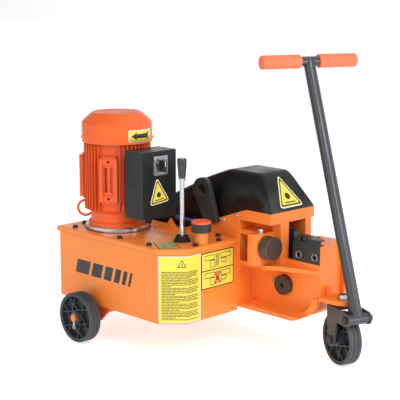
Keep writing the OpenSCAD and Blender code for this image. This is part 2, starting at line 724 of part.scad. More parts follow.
module at_left() place() translate([rear_x, -45, wheel_r]) rotate([-90, 0, 0]) children();
module at_right() place() translate([rear_x, 498, wheel_r]) rotate([-90, 0, 0]) children();

module left_rim() color([0.15, 0.16, 0.17]) at_left() rim(10 + fit);
module left_tyre() color([0.2, 0.2, 0.21]) at_left() tyre();
module right_rim() color([0.15, 0.16, 0.17]) at_right() rim(10 + fit);
module right_tyre() color([0.2, 0.2, 0.21]) at_right() tyre();

module swivel_bracket() color("darkorange") place() difference() {
  union() {
    block([head_end, steer_y - 34, 175], [steer_x, steer_y + 34, 188]);
    translate([steer_x, steer_y, 175]) cylinder(h = 13, r = 34);
    block([head_end, steer_y - 5, 188], [head_end + 22, steer_y + 5, 215]);
  }
  translate([steer_x, steer_y, 170]) cylinder(h = 25, r = 10 + fit);
}

// Steered frame: x forward along the wheel, y along its axle, z up the steering axis
module steered() place() translate([steer_x, steer_y, 0]) rotate(-steer) children();

module front_fork() color([0.22, 0.21, 0.21]) steered() difference() {
  union() {
    translate([-24, -fork_in - fork_thick, 164]) cube([48, 2 * (fork_in + fork_thick), 7]);
    translate([0, 0, 171]) cylinder(h = 3.5, r = 18);
    translate([0, 0, 171]) cylinder(h = 32, r = 10);
    for (y = [-fork_in - fork_thick, fork_in]) across(y, y + fork_thick) {
      translate([0, wheel_r]) circle(18);
      polygon([
        [-18, wheel_r], [18, wheel_r], [26, 132], [ear, ear_z - 18], [ear, ear_z + 18],
        [24, 171], [-24, 171]]);
      translate([ear, ear_z]) circle(18);
    }
  }
  rod_y(0, wheel_r, 8, -50, 50);
  rod_y(ear, ear_z, 6, -50, 50);
}

// Axle bolt, handle bolt and the nut on the steering pin
module fork_bolts() color("silver") steered() {
  rod_y(0, wheel_r, 8, -40, 45);
  rod_y(ear, ear_z, 6, -40, 47);
  for (p = [[0, wheel_r, 22], [ear, ear_z, 18]], s = [-1, 1])
    translate([p[0], s * (fork_in + fork_thick), p[1]]) rotate([-90 * s, 0, 0]) hex_head(p[2], 8);
  for (s = [-1, 1]) difference() {
    rod_y(0, wheel_r, 12, s > 0 ? 20.4 : -fork_in, s > 0 ? fork_in : -20.4);
    rod_y(0, wheel_r, 8, -50, 50);
  }
  difference() {
    translate([0, 0, 188.4]) hex_head(28, 13);
    translate([0, 0, 180]) cylinder(h = 30, r = 10);
  }
}

module at_front() steered() translate([0, 0, wheel_r]) rotate([-90, 0, 0]) children();
module front_rim() color([0.15, 0.16, 0.17]) at_front() rim(8 + fit);
module front_tyre() color([0.2, 0.2, 0.21]) at_front() tyre();

module at_ear() steered() translate([ear, 0, ear_z]) rotate([0, -lean, 0]) children();

module pull_handle() color([0.25, 0.28, 0.31]) at_ear() difference() {
  union() {
    rod_y(0, 0, 15, -fork_in + 0.5, fork_in - 0.5);
    translate([0, 0, 4]) cylinder(h = pull_len - 4, r = pipe_r);
    rod_y(0, pull_len, 14, -bar_len / 2 + 4, bar_len / 2 - 4);
  }
  rod_y(0, 0, 6 + fit, -40, 40);
}

module handle_grips() color("tomato") at_ear() for (s = [-1, 1]) difference() {
  translate([0, s * (bar_len / 2 - 62), pull_len]) rotate([90, 0, 0]) rotate_extrude() polygon([
    [0, -62], [17, -62], [20, -59], [20, 59], [17, 62], [0, 62]]);
  rod_y(0, pull_len, 14, -bar_len / 2 + 4, bar_len / 2 - 4);
}

tank();
tank_lid();
lid_gasket();
lid_bolts();
drain_plug();
motor_flange();
drive_endshield();
motor_housing();
fan_cowl();
cowl_screws();
stator();
motor_bearings();
lifting_eye();
rotor();
cooling_fan();
bell_housing();
pump_body();
pump_drive_gear();
pump_driven_gear();
switch_box();
switch_box_cover();
switch_plate();
switch_knob();
cable_gland();
valve_block();
valve_spool();
control_lever();
lever_grip();
lever_boot();
filler_neck();
filler_cap();
head_frame();
guard_cover();
cover_screws();
lifting_lug();
cylinder_barrel();
piston_rod();
pressure_pipe();
blade_arm();
arm_bushes();
pivot_pin();
grease_nipple();
moving_blade();
fixed_blade();
blade_holder();
clamp_bolts();
bar_stop();
rear_axle();
axle_brackets();
left_rim();
left_tyre();
right_rim();
right_tyre();
swivel_bracket();
front_fork();
fork_bolts();
front_rim();
front_tyre();
pull_handle();
handle_grips();
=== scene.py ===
import math
import random

import bmesh
import bpy
from mathutils import Matrix, Vector


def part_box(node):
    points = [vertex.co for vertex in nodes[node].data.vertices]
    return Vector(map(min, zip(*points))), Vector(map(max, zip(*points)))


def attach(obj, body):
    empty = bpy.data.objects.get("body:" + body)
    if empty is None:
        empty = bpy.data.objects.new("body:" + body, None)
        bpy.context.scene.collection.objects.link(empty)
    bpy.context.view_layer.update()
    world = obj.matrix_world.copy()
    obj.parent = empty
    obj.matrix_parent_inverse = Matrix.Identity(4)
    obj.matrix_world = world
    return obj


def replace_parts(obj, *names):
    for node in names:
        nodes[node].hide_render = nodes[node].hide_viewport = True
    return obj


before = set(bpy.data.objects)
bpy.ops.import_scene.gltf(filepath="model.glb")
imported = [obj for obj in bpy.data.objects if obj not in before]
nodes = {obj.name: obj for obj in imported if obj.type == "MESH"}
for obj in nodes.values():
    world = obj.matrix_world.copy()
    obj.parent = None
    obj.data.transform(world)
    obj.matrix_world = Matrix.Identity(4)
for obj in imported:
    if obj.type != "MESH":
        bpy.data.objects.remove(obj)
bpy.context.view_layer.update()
MM = 0.001
random.seed(24)

# The tank's rear near corner on the floor is the zero of every place below, in millimetres
tank_low, tank_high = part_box("tank")
ZERO = Vector((tank_low[0], tank_low[1], 0))


def at(x, y, z):
    return ZERO + Vector((x, y, z)) * MM


# ---------------------------------------------------------------- camera

CAMERA_AT = (2658, -2009, 1034)
CAMERA_TURN = 45.49
CAMERA_PITCH = 10.8
camera_data = bpy.data.cameras.new("camera")
camera_data.lens = 99
camera_data.sensor_width = 36
camera = bpy.data.objects.new("camera", camera_data)
camera.location = at(*CAMERA_AT)
camera.rotation_euler = (math.radians(90 - CAMERA_PITCH), 0, math.radians(CAMERA_TURN))
bpy.context.scene.collection.objects.link(camera)
bpy.context.scene.camera = camera


# ---------------------------------------------------------------- materials

def material(name, colour, rough=0.4, metal=0.0, coat=0.0, mottle=0.06, mottle_scale=9.0,
             grain=400.0, grain_bump=0.04, lumps=0.0, lump_scale=30.0, rough_spread=0.12, dust=0.0,
             sheen=0.0, edge=None, edge_size=1.2, shine=0.5):
    """A procedural finish: mottled colour, uneven roughness, fine grain and larger lumps in the bump."""
    made = bpy.data.materials.new(name)
    made.use_nodes = True
    tree = made.node_tree
    add, link = tree.nodes.new, tree.links.new
    shader = tree.nodes["Principled BSDF"]
    shader.inputs["Metallic"].default_value = metal
    shader.inputs["Coat Weight"].default_value = coat
    shader.inputs["Coat Roughness"].default_value = 0.12
    shader.inputs["Sheen Weight"].default_value = sheen
    shader.inputs["Specular IOR Level"].default_value = shine
    place = add("ShaderNodeTexCoord").outputs["Object"]

    def noise(scale, detail):
        node = add("ShaderNodeTexNoise")
        node.inputs["Scale"].default_value = scale
        node.inputs["Detail"].default_value = detail
        link(place, node.inputs["Vector"])
        return node.outputs["Fac"]

    def mix(factor, low, high):
        node = add("ShaderNodeMix")
        node.data_type = "RGBA"
        link(factor, node.inputs["Factor"])
        for socket, value in ((node.inputs["A"], low), (node.inputs["B"], high)):
            if isinstance(value, tuple):
                socket.default_value = (*value, 1)
            else:
                link(value, socket)
        return node.outputs["Result"]

    def spread(factor, low, high, start=0.3, stop=0.7):
        node = add("ShaderNodeMapRange")
        node.inputs["From Min"].default_value = start
        node.inputs["From Max"].default_value = stop
        node.inputs["To Min"].default_value = low
        node.inputs["To Max"].default_value = high
        link(factor, node.inputs["Value"])
        return node.outputs["Result"]

    dark = tuple(c * (1 - mottle) for c in colour)
    light = tuple(min(1, c * (1 + mottle)) for c in colour)
    shade = mix(spread(noise(mottle_scale, 4), 0, 1), dark, light)
    if dust:
        dusty = tuple(c * 0.5 + 0.18 for c in colour)
        shade = mix(spread(noise(26, 8), 0, dust, 0.5, 0.75), shade, dusty)
    if edge:
        bevel = add("ShaderNodeBevel")
        bevel.samples = 4
        bevel.inputs["Radius"].default_value = edge_size * MM
        geometry = add("ShaderNodeNewGeometry")
        dot = add("ShaderNodeVectorMath")
        dot.operation = "DOT_PRODUCT"
        link(bevel.outputs["Normal"], dot.inputs[0])
        link(geometry.outputs["Normal"], dot.inputs[1])
        worn = spread(dot.outputs["Value"], 1, 0, 0.80, 0.98)
        patch = add("ShaderNodeMath")
        patch.operation = "MULTIPLY"
        link(worn, patch.inputs[0])
        link(spread(noise(55, 6), 0.15, 0.9, 0.42, 0.62), patch.inputs[1])
        shade = mix(patch.outputs["Value"], shade, edge)
    link(shade, shader.inputs["Base Color"])
    link(spread(noise(14, 5), max(0.03, rough - rough_spread), min(1, rough + rough_spread)),
         shader.inputs["Roughness"])
    bump = add("ShaderNodeBump")
    bump.inputs["Strength"].default_value = grain_bump
    bump.inputs["Distance"].default_value = MM
    link(noise(grain, 3), bump.inputs["Height"])
    if lumps:
        second = add("ShaderNodeBump")
        second.inputs["Strength"].default_value = lumps
        second.inputs["Distance"].default_value = 2 * MM
        link(noise(lump_scale, 3), second.inputs["Height"])
        link(bump.outputs["Normal"], second.inputs["Normal"])
        bump = second
    link(bump.outputs["Normal"], shader.inputs["Normal"])
    return made


ORANGE = (0.88, 0.235, 0.035)
sheet_orange = material("sheet_orange", ORANGE, 0.34, coat=0.12, shine=0.3, mottle=0.035, mottle_scale=4, grain=700,
                        grain_bump=0.05, lumps=0.02, edge=(0.95, 0.42, 0.16))
cast_orange = material("cast_orange", (0.88, 0.205, 0.028), 0.36, coat=0.12, shine=0.3, mottle=0.06, mottle_scale=12,
                       grain=300, grain_bump=0.1, lumps=0.12, lump_scale=60, dust=0.08,
                       edge=(0.95, 0.4, 0.16), edge_size=2)
motor_orange = material("motor_orange", (0.78, 0.112, 0.016), 0.4, coat=0.1, shine=0.3, mottle=0.07, mottle_scale=15,
                        grain=350, grain_bump=0.12, lumps=0.1, lump_scale=90, edge=(0.95, 0.25, 0.1))
# Painted shade: the motor's orange made darker and redder for the finned housing, standing in for the shadow in the
# gaps between the fins
fin_shade_orange = material("fin_shade_orange", (0.74, 0.095, 0.015), 0.42, coat=0.1, shine=0.3, mottle=0.07, mottle_scale=15,
                      grain=350, grain_bump=0.12, lumps=0.1, lump_scale=90, edge=(0.9, 0.2, 0.08))
axle_orange = material("axle_orange", (0.74, 0.09, 0.016), 0.45, coat=0.1, mottle=0.12)
cap_red = material("cap_red", (0.8, 0.09, 0.03), 0.5, mottle=0.06, grain=500, grain_bump=0.1)
grip_red = material("grip_red", (0.87, 0.16, 0.06), 0.62, mottle=0.05, mottle_scale=30, grain=900,
                    grain_bump=0.35, lumps=0.08, lump_scale=160, sheen=0.15)
cover_black = material("cover_black", (0.0055, 0.006, 0.0065), 0.3, shine=0.36, mottle=0.2, mottle_scale=7,
                       grain=1200, grain_bump=0.25, lumps=0.03, lump_scale=14, edge=(0.09, 0.09, 0.09))
lug_black = material("lug_black", (0.022, 0.02, 0.02), 0.5, mottle=0.2, grain=500, grain_bump=0.2,
                     edge=(0.1, 0.09, 0.085))
box_grey = material("box_grey", (0.012, 0.014, 0.016), 0.3, shine=0.3, mottle=0.12, grain=1400,
                    grain_bump=0.2, edge=(0.1, 0.11, 0.11))
pipe_grey = material("pipe_grey", (0.032, 0.036, 0.044), 0.36, coat=0.2, mottle=0.12, mottle_scale=6,
                     grain=700, grain_bump=0.12, edge=(0.16, 0.17, 0.18))
fork_grey = material("fork_grey", (0.05, 0.045, 0.043), 0.48, mottle=0.15, grain=400, grain_bump=0.2,
                     edge=(0.2, 0.18, 0.16), dust=0.1)
blade_steel = material("blade_steel", (0.034, 0.035, 0.036), 0.4, metal=0.35, mottle=0.2, mottle_scale=22,
                       grain=500, grain_bump=0.2, edge=(0.25, 0.25, 0.26))
stop_steel = material("stop_steel", (0.105, 0.075, 0.06), 0.42, metal=0.55, mottle=0.25, mottle_scale=16,
                      grain=600, grain_bump=0.15, edge=(0.2, 0.17, 0.13))
pin_steel = material("pin_steel", (0.052, 0.036, 0.029), 0.42, metal=0.4, mottle=0.25, mottle_scale=16,
                     grain=600, grain_bump=0.15, edge=(0.14, 0.11, 0.09))
arm_steel = material("arm_steel", (0.07, 0.05, 0.04), 0.55, metal=0.3, mottle=0.2, grain=260,
                     grain_bump=0.3)
zinc = material("zinc", (0.56, 0.57, 0.59), 0.3, metal=1, mottle=0.1, mottle_scale=60, grain=800,
                grain_bump=0.08)
alloy = material("alloy", (0.62, 0.63, 0.65), 0.28, metal=1, mottle=0.08, mottle_scale=20, grain=900,
                 grain_bump=0.12, lumps=0.02)
bronze = material("bronze", (0.5, 0.3, 0.12), 0.35, metal=1, mottle=0.1)
core_steel = material("core_steel", (0.25, 0.22, 0.2), 0.5, metal=0.7, mottle=0.15)
bolt_black = material("bolt_black", (0.03, 0.03, 0.032), 0.42, metal=0.5, mottle=0.2, mottle_scale=80,
                      edge=(0.2, 0.2, 0.2), edge_size=0.6)
black_plastic = material("black_plastic", (0.014, 0.014, 0.015), 0.36, mottle=0.12, grain=900,
                         grain_bump=0.15, coat=0.1)
grip_black = material("grip_black", (0.018, 0.018, 0.019), 0.3, mottle=0.15, grain=700, grain_bump=0.08,
                      coat=0.25)
rim_plastic = material("rim_plastic", (0.03, 0.034, 0.039), 0.45, mottle=0.15, grain=700, grain_bump=0.2,
                       dust=0.06, edge=(0.12, 0.125, 0.13), edge_size=0.8)
tyre_rubber = material("tyre_rubber", (0.045, 0.048, 0.055), 0.6, mottle=0.14, mottle_scale=18, grain=900,
                       grain_bump=0.3, dust=0.14)
seal_orange = material("seal_orange", (0.5, 0.115, 0.02), 0.5, mottle=0.15)
rubber = material("rubber", (0.012, 0.012, 0.012), 0.6, mottle=0.15, grain=900, grain_bump=0.25)
blue_pipe = material("blue_pipe", (0.015, 0.09, 0.36), 0.3, coat=0.3, mottle=0.1)
label_yellow = material("label_yellow", (0.78, 0.64, 0.075), 0.4, coat=0.1, shine=0.3, mottle=0.03, mottle_scale=5,
                        grain=500, grain_bump=0.03)
label_olive = material("label_olive", (0.42, 0.36, 0.06), 0.3, coat=0.3, shine=0.4, mottle=0.12, mottle_scale=30)
label_white = material("label_white", (0.8, 0.8, 0.78), 0.4, coat=0.15, mottle=0.03)
label_black = material("label_black", (0.02, 0.02, 0.02), 0.45, mottle=0.1)
label_red = material("label_red", (0.65, 0.03, 0.02), 0.45, mottle=0.06)
print_brown = material("print_brown", (0.09, 0.07, 0.025), 0.5, mottle=0.15, mottle_scale=200)

FINISHES = {
    sheet_orange: "tank tank_lid filler_neck",
    cast_orange: "head_frame swivel_bracket",
    fin_shade_orange: "motor_housing",
    motor_orange: "drive_endshield fan_cowl cowl_screws lifting_eye",
    axle_orange: "axle_brackets rear_axle",
    cover_black: "guard_cover",
    lug_black: "lifting_lug",
    box_grey: "switch_box switch_box_cover",
    pipe_grey: "pull_handle cylinder_barrel",
    fork_grey: "front_fork",
    blade_steel: "blade_holder fixed_blade moving_blade",
    stop_steel: "bar_stop",
    pin_steel: "pivot_pin",
    arm_steel: "blade_arm",
    zinc: "drain_plug rotor pump_drive_gear pump_driven_gear valve_spool control_lever cover_screws "
          "piston_rod grease_nipple fork_bolts motor_bearings",
    alloy: "motor_flange bell_housing pump_body valve_block switch_plate",
    bronze: "arm_bushes",
    core_steel: "stator",
    bolt_black: "lid_bolts clamp_bolts",
    black_plastic: "cooling_fan switch_knob filler_cap cable_gland",
    grip_black: "lever_grip",
    rim_plastic: "left_rim right_rim front_rim",
    tyre_rubber: "left_tyre right_tyre front_tyre",
    grip_red: "handle_grips",
    seal_orange: "lid_gasket",
    rubber: "lever_boot",
    blue_pipe: "pressure_pipe",
}
for finish, names in FINISHES.items():
    for name in names.split():
        mesh = nodes[name].data
        mesh.materials.clear()
        mesh.materials.append(finish)


def refinish(name, finish, chosen):
    """Gives another finish to the faces of a CAD node whose middle, in design mm, is chosen."""
    mesh = nodes[name].data
    mesh.materials.append(finish)
    for polygon in mesh.polygons:
        middle = (nodes[name].matrix_world @ polygon.center - ZERO) / MM
        if chosen(middle):
            polygon.material_index = 1


refinish("clamp_bolts", zinc, lambda p: p.x < 600)
refinish("fork_bolts", bolt_black, lambda p: p.z < 172)
refinish("rear_axle", sheet_orange, lambda p: p.y < 0 or p.y > 450)


WELD_GAP = 0.00001
FLAT_ANGLE = 1
SHARP_ANGLE = 32
BEVEL_STEPS = 2


def soften(name, width):
    """Rounds the sharp edges of a CAD node with modifiers; flat faces are joined first, so that none creases."""
    node = nodes[name]
    weld = node.modifiers.new("weld", "WELD")
    weld.merge_threshold = WELD_GAP
    flat = node.modifiers.new("flat", "DECIMATE")
    flat.decimate_type = "DISSOLVE"
    flat.angle_limit = math.radians(FLAT_ANGLE)
    bevel = node.modifiers.new("bevel", "BEVEL")
    bevel.width = width * MM
    bevel.segments = BEVEL_STEPS
    bevel.limit_method = "ANGLE"
    bevel.angle_limit = math.radians(SHARP_ANGLE)
    bevel.use_clamp_overlap = True
    bevel.harden_normals = False
    bevel.miter_outer = "MITER_ARC"


for name, width in {"tank": 2, "head_frame": 2.2, "switch_box": 2, "switch_box_cover": 3,
                    "lifting_lug": 1.5, "blade_holder": 1.2, "fixed_blade": 0.6, "bar_stop": 1.5,
                    "swivel_bracket": 1.5, "front_fork": 0.8}.items():
    soften(name, width)


# ---------------------------------------------------------------- mesh helpers

def piece(name, mesh_maker, finish, body="machine", smooth=35):
    """Makes an object from a function that fills a bmesh, and lets it ride on a body."""
    mesh = bpy.data.meshes.new(name)
    shape = bmesh.new()
    mesh_maker(shape)
    bmesh.ops.recalc_face_normals(shape, faces=shape.faces)
    for face in shape.faces:
        face.smooth = True
    for line in shape.edges:
        if len(line.link_faces) == 2 and line.calc_face_angle(0) > math.radians(smooth):
            line.smooth = False
    shape.to_mesh(mesh)
    shape.free()
    made = bpy.data.objects.new(name, mesh)
    bpy.context.scene.collection.objects.link(made)
    mesh.materials.append(finish)
    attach(made, body)
    return made


def prism(shape, outline, place, thick):
    """Adds a plate: a closed outline of (u, v) in mm, put in place by a matrix."""
    low = [shape.verts.new(place @ Vector((u * MM, v * MM, 0))) for u, v in outline]
    high = [shape.verts.new(place @ Vector((u * MM, v * MM, thick * MM))) for u, v in outline]
    shape.faces.new(high)
    shape.faces.new(low[::-1])
    for i in range(len(outline)):
        j = (i + 1) % len(outline)
        shape.faces.new([low[i], low[j], high[j], high[i]])


def ring_plate(shape, outer, inner, place, thick):
    """Adds a flat frame between two outlines with the same number of points."""
    rings = []
    for outline, z in ((outer, 0), (outer, thick), (inner, thick), (inner, 0)):
        rings.append([shape.verts.new(place @ Vector((u * MM, v * MM, z * MM))) for u, v in outline])
    for k in range(4):
        first, second = rings[k], rings[(k + 1) % 4]
        for i in range(len(outer)):
            j = (i + 1) % len(outer)
            shape.faces.new([first[i], first[j], second[j], second[i]])


def rounded(points, radius, steps=4):
    """The corners of a convex outline, each rounded by an arc of about this radius."""
    result = []
    count = len(points)
    for i, point in enumerate(points):
        corner = Vector(point)
        before = (Vector(points[i - 1]) - corner).normalized() * radius
        after = (Vector(points[(i + 1) % count]) - corner).normalized() * radius
        for k in range(steps + 1):
            t = k / steps
            result.append(tuple(corner + before * (1 - t) ** 2 + after * t ** 2))
    return result


def oblong(width, height, radius=0.0, middle=(0, 0)):
    u, v = middle
    corners = [(u - width / 2, v - height / 2), (u + width / 2, v - height / 2),
               (u + width / 2, v + height / 2), (u - width / 2, v + height / 2)]
    return rounded(corners, radius) if radius else corners


def facing(origin, right, up):
    """Matrix with u along right, v along up and the thickness along their cross product."""
    right = Vector(right).normalized()
    out = right.cross(Vector(up)).normalized()
    up = out.cross(right)
    matrix = Matrix((right, up, out)).transposed().to_4x4()
    matrix.translation = origin
    return matrix


def turned(shape, profile, place, steps=48):
    """Adds a solid of revolution: (radius, height) in mm round the matrix's third axis."""
    rows = []
    for radius, height in profile:
        if radius == 0:
            rows.append([shape.verts.new(place @ Vector((0, 0, height * MM)))])
            continue
        rows.append([shape.verts.new(place @ Vector((
            radius * MM * math.cos(2 * math.pi * k / steps),
            radius * MM * math.sin(2 * math.pi * k / steps), height * MM))) for k in range(steps)])
    for first, second in zip(rows, rows[1:]):
        for k in range(steps):
            j = (k + 1) % steps
            corners = [first[k % len(first)], first[j % len(first)],
                       second[j % len(second)], second[k % len(second)]]
            unique = list(dict.fromkeys(corners))
            if len(unique) > 2:
                shape.faces.new(unique)


# Faces that look to the near side and to the front, as the directions of a plate's width and height
NEAR = ((1, 0, 0), (0, 0, 1))
FRONT = ((0, 1, 0), (0, 0, 1))

# How far a label stands off the sheet, then its face over its border, its print and its top print, in mm
SKIN = 0.25
FACE_LIFT = 0.3
PRINT_LIFT = 0.6
TOP_LIFT = 0.8
PLATE_THICK = 0.3
INK_THICK = 0.12


# ---------------------------------------------------------------- floor and light

FLOOR_GLOW = 0.6
FLOOR_DROP = 0.0005
SKY = (1.0, 1.0, 1.0, 1)
SKY_LEFT = (0.3, 0.3, 0.31, 1)
SKY_TOP = (0.5, 0.5, 0.5, 1)

floor_mesh = bpy.data.meshes.new("floor")
shape = bmesh.new()
bmesh.ops.create_grid(shape, x_segments=1, y_segments=1, size=30)
shape.to_mesh(floor_mesh)
shape.free()
floor = bpy.data.objects.new("floor", floor_mesh)
floor.location.z = -FLOOR_DROP
bpy.context.scene.collection.objects.link(floor)
floor_white = material("floor_white", (0.7, 0.72, 0.73), 0.7, mottle=0.01, grain_bump=0.0)
floor_shader = floor_white.node_tree.nodes["Principled BSDF"]
floor_shader.inputs["Emission Color"].default_value = (0.95, 1, 1, 1)
floor_shader.inputs["Emission Strength"].default_value = FLOOR_GLOW
floor_mesh.materials.append(floor_white)

world = bpy.data.worlds.new("studio")
world.use_nodes = True
sky = world.node_tree
background = sky.nodes["Background"]
background.inputs["Strength"].default_value = 1.0
direction = sky.nodes.new("ShaderNodeTexCoord").outputs["Generated"]
shade = SKY
for toward, start, stop, end in (((-0.72, -0.69, 0.0), 0.15, 0.85, SKY_LEFT),
                                 ((0.0, 0.0, 1.0), 0.15, 0.9, SKY_TOP)):
    dot = sky.nodes.new("ShaderNodeVectorMath")
    dot.operation = "DOT_PRODUCT"
    dot.inputs[1].default_value = toward
    sky.links.new(direction, dot.inputs[0])
    ramp = sky.nodes.new("ShaderNodeMapRange")
    ramp.inputs["From Min"].default_value = start
    ramp.inputs["From Max"].default_value = stop
    sky.links.new(dot.outputs["Value"], ramp.inputs["Value"])
    blend = sky.nodes.new("ShaderNodeMix")
    blend.data_type = "RGBA"
    sky.links.new(ramp.outputs["Result"], blend.inputs["Factor"])
    if isinstance(shade, tuple):
        blend.inputs["A"].default_value = shade
    else:
        sky.links.new(shade, blend.inputs["A"])
    blend.inputs["B"].default_value = end
    shade = blend.outputs["Result"]
sky.links.new(shade, background.inputs["Color"])
bpy.context.scene.world = world
bpy.context.scene.view_settings.view_transform = "Standard"


def lamp(name, place, aim, size, power):
    """A square soft light of this size in metres and this power in watts."""
    data = bpy.data.lights.new(name, "AREA")
    data.size = size
    data.energy = power
    made = bpy.data.objects.new(name, data)
    made.location = place
    made.rotation_euler = (Vector(aim) - Vector(place)).to_track_quat("-Z", "Y").to_euler()
    bpy.context.scene.collection.objects.link(made)


lamp("key", (2.9, -1.0, 2.6), (0, 0, 0.35), 1.5, 54)
lamp("fill", (0.3, -3.2, 1.5), (0, 0, 0.25), 1.8, 20)
lamp("front", (3.2, 0.9, 0.9), (0.2, 0, 0.3), 1.2, 24)
lamp("top", (0.2, 1.0, 3.2), (0, 0, 0.3), 2.0, 12)

# ---------------------------------------------------------------- guard cover

WALL_NEAR = 264
WALL_FAR = 453
FLANGE_TOP = 412
FLANGE_START = 536
SLOPE = math.tan(math.radians(19.5))


def edge_height(x):
    """Height of the head's top edge, which the cover stands on."""
    return FLANGE_TOP - max(0, FLANGE_START - x) * SLOPE


# The hood's ridge: places along the machine and the rise above the edge, turned by smooth bends
HOOD = [(632, 1.0), (567, 104), (536, 104.8), (435, 141.5), (339, 140), (202, 124), (66, 102)]
LEAN_IN = 34
CORNER = 11
BEND = 22
FRONT_BEND = 42
ARC_STEPS = 6
SHELL = 3


def arc():
    """Even steps from 0 to 1 along a bend."""
    return [n / ARC_STEPS for n in range(ARC_STEPS + 1)]


def ridge():
    """The top line of the hood as height over x, with each corner rounded."""
    line = []
    for k, (x, rise) in enumerate(HOOD):
        here = Vector((x, edge_height(x) + rise))
        if k in (0, len(HOOD) - 1):
            line.append(here)
            continue
        lead = []
        for other in (HOOD[k - 1], HOOD[k + 1]):
            to_other = Vector((other[0], edge_height(other[0]) + other[1])) - here
            lead.append(to_other.normalized() * min(FRONT_BEND if k == 1 else BEND, to_other.length * 0.45))
        for t in arc():
            line.append(here + lead[0] * (1 - t) ** 2 + lead[1] * t ** 2)
    return line


def hood(shape):
    """The hood's skin: one row of points across the machine at each place along the ridge."""
    rows = []
    for x, top in ridge():
        low = edge_height(x) + 0.5
        rise = max(top - low, 0.8)
        inset = LEAN_IN * min(1, rise / 100)
        radius = min(CORNER, rise * 0.45)
        side = Vector((WALL_NEAR + 0.5, low))
        shoulder = Vector((WALL_NEAR + 0.5 + inset, low + rise))
        down = (side - shoulder).normalized() * radius
        points = [side] + [shoulder + down * (1 - t) ** 2 + Vector((radius, 0)) * t ** 2 for t in arc()]
        mirror = WALL_NEAR + WALL_FAR
        points += [Vector((mirror - p.x, p.y)) for p in reversed(points)]
        rows.append([shape.verts.new(at(x, p.x, p.y)) for p in points])
    for first, second in zip(rows, rows[1:]):
        for k in range(len(first) - 1):
            shape.faces.new([first[k], first[k + 1], second[k + 1], second[k]])
    shape.faces.new(rows[-1])


cover = piece("guard_hood", hood, cover_black, smooth=50)
shell = cover.modifiers.new("shell", "SOLIDIFY")
shell.thickness = SHELL * MM
shell.offset = -1
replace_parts(cover, "guard_cover")


# ---------------------------------------------------------------- labels

def plate(name, place, outline, finish, lift=0.0, body="machine"):
    """A thin printed plate; lift is how far it stands off the surface, in mm."""
    raised = place @ Matrix.Translation((0, 0, (SKIN + lift) * MM))
    return piece(name, lambda shape: prism(shape, outline, raised, PLATE_THICK), finish, body)


def marks(name, place, outlines, finish, lift=PRINT_LIFT):
    """Several flat printed shapes on one plate, as one piece."""
    raised = place @ Matrix.Translation((0, 0, (SKIN + lift) * MM))

    def fill(shape):
        for outline in outlines:
            prism(shape, outline, raised, INK_THICK)
    return piece(name, fill, finish)


def bars(left, right, top, bottom, count, height, seed):
    """Rows of plain bars of uneven length, which stand for printed lines without any lettering."""
    chance = random.Random(seed)
    rows = []
    for k in range(count):
        v = top - (top - bottom) * k / (count - 1)
        start = left
        while start < right - 4:
            stop = min(right, start + chance.uniform(6, 17))
            rows.append(oblong(stop - start, height, middle=((start + stop) / 2, v)))
            start = stop + 1.6
            if k % 4 == 3 and chance.random() < 0.5:
                break
    return rows


def triangle_sign(name, place, width, height, lean=0.0):
    """A white plate, a yellow triangle and a dark frame with a plain dot."""
    base = [(-width / 2, 0), (width / 2, 0), (lean, height)]

    def inner(gap):
        middle = Vector((lean / 3, height / 3))
        return [tuple(middle + (Vector(p) - middle) * (1 - gap)) for p in base]

    plate(name + "_back", place, rounded(base, 15), label_white)
    plate(name + "_face", place, rounded(inner(0.07), 13), label_yellow, lift=FACE_LIFT)
    outer, hole = rounded(inner(0.14), 8), rounded(inner(0.27), 6)
    raised = place @ Matrix.Translation((0, 0, (SKIN + PRINT_LIFT) * MM))
    piece(name + "_frame", lambda shape: ring_plate(shape, outer, hole, raised, INK_THICK), label_black)
    middle = (lean / 3, height / 3)
    reach = 0.1 * width
    dot = [(middle[0] + reach * math.cos(t * math.pi / 8), middle[1] + reach * math.sin(t * math.pi / 8))
           for t in range(16)]
    bar = oblong(0.42 * width, 0.035 * height, middle=(0, 0.15 * height))
    marks(name + "_mark", place, [dot, bar], label_black)


# Instruction plate, bent round the tank's corner
CORNER_START = Vector((443, 0))
CORNER_END = Vector((503, 60))
CORNER_RUN = (CORNER_END - CORNER_START).length


def around(u, v, lift):
    """A point u mm along the corner and the side wall and v mm above the floor, lifted off the sheet."""
    if u < CORNER_RUN:
        spot = CORNER_START + (CORNER_END - CORNER_START) * u / CORNER_RUN
        out = Vector((0.7071, -0.7071))
    else:
        spot = CORNER_END + Vector((0, u - CORNER_RUN))
        out = Vector((1, 0))
    spot = spot + out * lift
    return at(spot.x, spot.y, v)


FOLD_GAP = 0.01
SHORTEST = 0.2
BENT_THICK = 0.25


def bent(name, shapes, finish, lift):
    """Flat rectangles (u0, u1, v0, v1) laid round the corner; one that crosses the fold is split there."""
    def fill(shape):
        for u0, u1, v0, v1 in shapes:
            parts = [(u0, min(u1, CORNER_RUN - FOLD_GAP)), (max(u0, CORNER_RUN), u1)]
            for a, b in parts:
                if b - a < SHORTEST:
                    continue
                corners = ((a, v0), (b, v0), (b, v1), (a, v1))
                low = [shape.verts.new(around(u, v, lift)) for u, v in corners]
                high = [shape.verts.new(around(u, v, lift + BENT_THICK)) for u, v in corners]
                shape.faces.new(high)
                shape.faces.new(low[::-1])
                for i in range(4):
                    j = (i + 1) % 4
                    shape.faces.new([low[i], low[j], high[j], high[i]])
    return piece(name, fill, finish)


